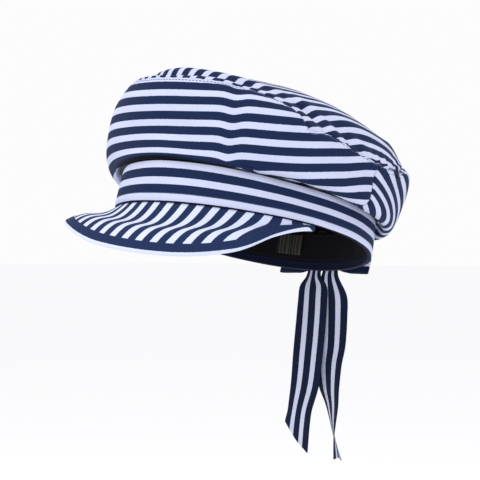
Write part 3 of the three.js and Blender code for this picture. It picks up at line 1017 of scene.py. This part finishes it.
def make_peak():
    def place(u, v):
        t = (u - 0.5) * 2 * PEAK_HALF
        soft = 0.0002 * np.sin(14 * t + 3 * v) * np.sin(math.pi * v)
        return tipped(peak(t, 1 - v) + peak_up(t, 1 - v) * soft[..., None])

    def spread(u, v):
        """The stripes close up towards the peak's ends, less so at its edge."""
        out = 1 - v
        x = peak((u - 0.5) * 2 * PEAK_HALF, out)[..., 0]
        closing = (PEAK_CLOSING - PEAK_EASING * out) * (x / PEAK_SIDE) ** 2
        return out * PEAK_DEPTH, x * (1 + closing) + PEAK_DRIFT * out

    board = cloth("peak_board", 300, 50, place, spread, PEAK_BOARD)
    paint = striped_paint(
        "peak cotton", PEAK_NAVY, PEAK_PALE, pair=0.01032, shift=-0.00207, share=0.53
    )
    dress(board, paint, "peak")


def binding_start(t):
    long = np.linalg.norm(peak(t, 1 + 0 * t) - peak(t, 0 * t), axis=-1)
    return 1 - np.minimum(BINDING_WIDTH / long, 0.45)


def make_binding():
    """A strip folded over the peak's edge, from its upper side round to the lower."""
    nose = PEAK_BOARD / 2 + BINDING_LIFT
    top_end, edge_end = 0.35, 0.65
    near_edge = 0.99

    def shares(v):
        """How far the strip has run on the upper side, round the edge and back below."""
        w = 1 - v
        top = np.clip(w / top_end, 0, 1)
        turned = np.clip((w - top_end) / (edge_end - top_end), 0, 1)
        below = np.clip((w - edge_end) / (1 - edge_end), 0, 1)
        return w, top, turned, below

    def place(u, v):
        t = (u - 0.5) * 2 * PEAK_HALF * 0.999
        w, top, turned, below = shares(v)
        start = binding_start(t)
        rim = peak(t, 1 + 0 * t)
        up = peak_up(t, np.full_like(t, near_edge))
        out = rim - peak(t, 0 * t + near_edge)
        out /= np.linalg.norm(out, axis=-1, keepdims=True)
        over = start + (1 - start) * top
        lift = BINDING_LIFT * np.clip(w / 0.04, 0.1, 1)
        upper = peak(t, over) + peak_up(t, over) * lift[..., None]
        angle = (math.pi * turned)[..., None]
        fold = rim - up * PEAK_BOARD / 2 + nose * (out * np.sin(angle) + up * np.cos(angle))
        under = 1 - (1 - start) * below
        lower = peak(t, under) - peak_up(t, under) * (PEAK_BOARD + BINDING_LIFT)
        w = w[..., None]
        return tipped(np.where(w < top_end, upper, np.where(w > edge_end, lower, fold)))

    def spread(u, v):
        """The pale edge thins out towards both ends."""
        top, turned, below = shares(v)[1:]
        across = BINDING_WIDTH * (top + below) + math.pi * nose * turned
        ends = smoothstep(np.abs(2 * u - 1), 0.94, 1)
        return u * BINDING_ROUND, across * (1 - 0.45 * ends)

    piece = cloth("peak_edge_binding", 300, 40, place, spread, BINDING_CLOTH)
    paint = striped_paint(
        "peak binding cotton", PEAK_NAVY, PEAK_PALE, pair=0.0145, shift=0.0066, share=0.71
    )
    dress(piece, paint, "peak_binding")


# Bow and tails

PLY = 0.001  # room for one layer of ribbon
FIRST_PLY = RIM_LENGTH / 2 + CLEARANCE + PLY / 2
SECOND_PLY = FIRST_PLY + CLEARANCE + PLY
LOOP_DEPTH = 0.0062
LOOP_PINCHED = 0.00115  # half the loops' depth under the knot
BOW_BACK = RIM_LENGTH / 2 + 4 * CLEARANCE + 3 * PLY + LOOP_PINCHED + 0.0006
BOW_CLOTH = 0.0008
PINCH = 0.76  # the bow's height under the knot, as a share
BOW_ROUND = 0.18  # lengths of the ribbon round the two loops and round the knot
KNOT_ROUND = 0.055
KNOT_DEPTH = 0.0028
KNOT_SQUARE = 0.35  # the lower, the squarer
TAILS_MIDDLE = -0.0045
TAIL_CLOTH = 0.17  # of that, what hangs free of the knot


def ribbon_paint(name, width=RIBBON_WIDTH):
    """Five even stripes across the ribbon, navy at both edges."""
    pair = width / 2.5
    return striped_paint(name, RIBBON_NAVY, RIBBON_PALE, pair, pair / 4, share=0.59, thread=0.0005)


def make_bow():
    """Two flat loops as one flattened ring, pinched under the knot."""

    def place(u, v):
        a = u * 2 * math.pi
        share = np.cos(a)
        far = np.abs(share)
        opened = smoothstep(far, 0.22, 0.6)
        nose = np.sqrt(np.maximum(1 - far**5, 0))
        across = v * 2 - 1
        depth = (LOOP_PINCHED + (LOOP_DEPTH / 2 - LOOP_PINCHED) * opened) * nose
        pleat = 0.0004 * np.cos(3 * math.pi * across) * (1 - opened)
        belly = 0.0006 * opened * np.cos(2.5 * across)
        high = BOW_HEIGHT / 2 * (PINCH + (1 - PINCH) * opened) * (1 + 0.02 * np.sin(5 * a))
        x = BOW_SHIFT + (BOW_WIDTH / 2) * share
        y = BOW_BACK + np.sign(np.sin(a)) * depth + pleat + belly
        return tipped(np.stack([x, y, BOW_MIDDLE + high * across], -1))

    def spread(u, v):
        return u * BOW_ROUND, v * RIBBON_WIDTH

    piece = cloth("bow_loop_ribbon", 240, 30, place, spread, BOW_CLOTH, wrap=True)
    dress(piece, ribbon_paint("bow ribbon"), "bow_loops")


def make_knot():
    """A wrap of ribbon round the bow's middle, flat on its four sides."""

    def round_side(w):
        return np.sign(w) * np.abs(w) ** KNOT_SQUARE

    def place(u, v):
        a = u * 2 * math.pi
        side = v * 2 - 1
        wrinkle = 0.0003 * np.cos(5 * math.pi * side / 2) * np.abs(np.sin(a) * np.cos(a))
        half = (KNOT_WIDTH / 2) * (1 - 0.06 * np.abs(np.cos(a)))
        y = BOW_BACK + (KNOT_DEPTH + wrinkle) * round_side(np.cos(a))
        z = BOW_MIDDLE + (BOW_HEIGHT / 2 * PINCH + 4 * CLEARANCE) * round_side(np.sin(a))
        return tipped(np.stack([BOW_SHIFT + half * side, y, z], -1))

    def spread(u, v):
        return u * KNOT_ROUND, v * KNOT_WIDTH

    piece = cloth("bow_knot_ribbon", 120, 30, place, spread, BOW_CLOTH, wrap=True)
    dress(piece, ribbon_paint("knot ribbon", KNOT_WIDTH), "bow_knot")


# Rows down each tail: fall below the rim's back as a share of the drop, side and back as
# shares of the ribbon's width, turn in degrees and how wide it lies.
TAIL_RIGHT = [
    (0.08, -0.24, 0, 8, 0.93),
    (0.16, -0.28, 0, 8, 1),
    (0.28, -0.35, 0, 10, 1),
    (0.43, -0.45, 0, 10, 1),
    (0.61, -0.58, 0, 5, 1),
    (0.76, -0.81, 0.02, -7, 1),
    (0.91, -0.95, 0.04, -9, 1),
]
TAIL_LEFT = [
    (0.13, 0.35, 0.09, 7, 1),
    (0.24, 0.29, 0.17, 10, 1),
    (0.39, 0.24, 0.17, 6, 1),
    (0.50, 0.14, 0.17, -2, 1),
    (0.62, 0.16, 0.17, -16, 1),
    (0.71, 0.26, 0.17, -30, 1),
    (0.80, 0.30, 0.17, -42, 1),
    (0.87, 0.33, 0.17, -50, 1),
    (0.985, 0.48, 0.17, -64, 1),
]


def tail_keys(rows, start, back, gathered):
    """Places down the ribbon's middle, each with its turn and its width's share: three under
    the knot, at heights on the band, and then the rows."""
    keys = []
    for high, wide in ((0.012, 0.5), (0.003, 0.48), (-0.006, gathered)):
        x, y, z = tipped(np.array([TAILS_MIDDLE + start * RIBBON_WIDTH, back, high]))
        keys.append((x, y, z, 0, wide))
    free = keys[-1][1]
    rim = tipped(band(np.array(math.pi), np.array(0.0)))[2]
    for fall, side, behind, turn, wide in rows:
        x = TAILS_MIDDLE + side * RIBBON_WIDTH
        keys.append((x, free + behind * RIBBON_WIDTH, rim - fall * TAIL_DROP, turn, wide))
    return np.array(keys)


def make_tail(name, node, rows, start, back, gathered, cuts):
    """A ribbon end through its rows; cuts gives how much lower its two edges end than its
    middle, which is less than 0 for a higher one."""
    keys = tail_keys(rows, start, back, gathered)
    last = len(keys) - 1

    def place(u, v):
        row = (1 - v) * last
        x, y, z, turn, wide = (through(keys[:, k], row) for k in range(5))
        turn = np.radians(turn)
        side = u * 2 - 1
        half = RIBBON_WIDTH / 2 * wide * side
        bowed = 0.0006 * (1 - side**2) * np.sin(1.3 * row + 0.4)
        pleats = 0.0011 * swell(row, 0, 1.8) * np.cos(2.5 * math.pi * side)
        curl = bowed + pleats
        cut = np.where(side < 0, -side * cuts[0], side * cuts[1])
        x = x + np.cos(turn) * half - np.sin(turn) * curl
        y = y + np.sin(turn) * half + np.cos(turn) * curl
        return np.stack([x, y, z - cut * smoothstep(row, last - 1.2, last)], -1)

    def spread(u, v):
        return (1 - v) * TAIL_CLOTH, u * RIBBON_WIDTH

    piece = cloth(name, 28, 200, place, spread, RIBBON_CLOTH)
    dress(piece, ribbon_paint(name + " ribbon"), node)


def make_tails():
    make_tail(
        "tail_ribbon_right",
        "tail_right",
        TAIL_RIGHT,
        start=-0.24,
        back=FIRST_PLY,
        gathered=0.52,
        cuts=(-0.013, 0.009),
    )
    make_tail(
        "tail_ribbon_left",
        "tail_left",
        TAIL_LEFT,
        start=0.33,
        back=SECOND_PLY,
        gathered=0.62,
        cuts=(0.004, 0.0),
    )


add_camera()
add_studio()
make_front()
make_back()
make_top()
make_band()
make_sweatband()
make_tape()
make_lining()
make_label()
make_peak()
make_binding()
make_bow()
make_knot()
make_tails()
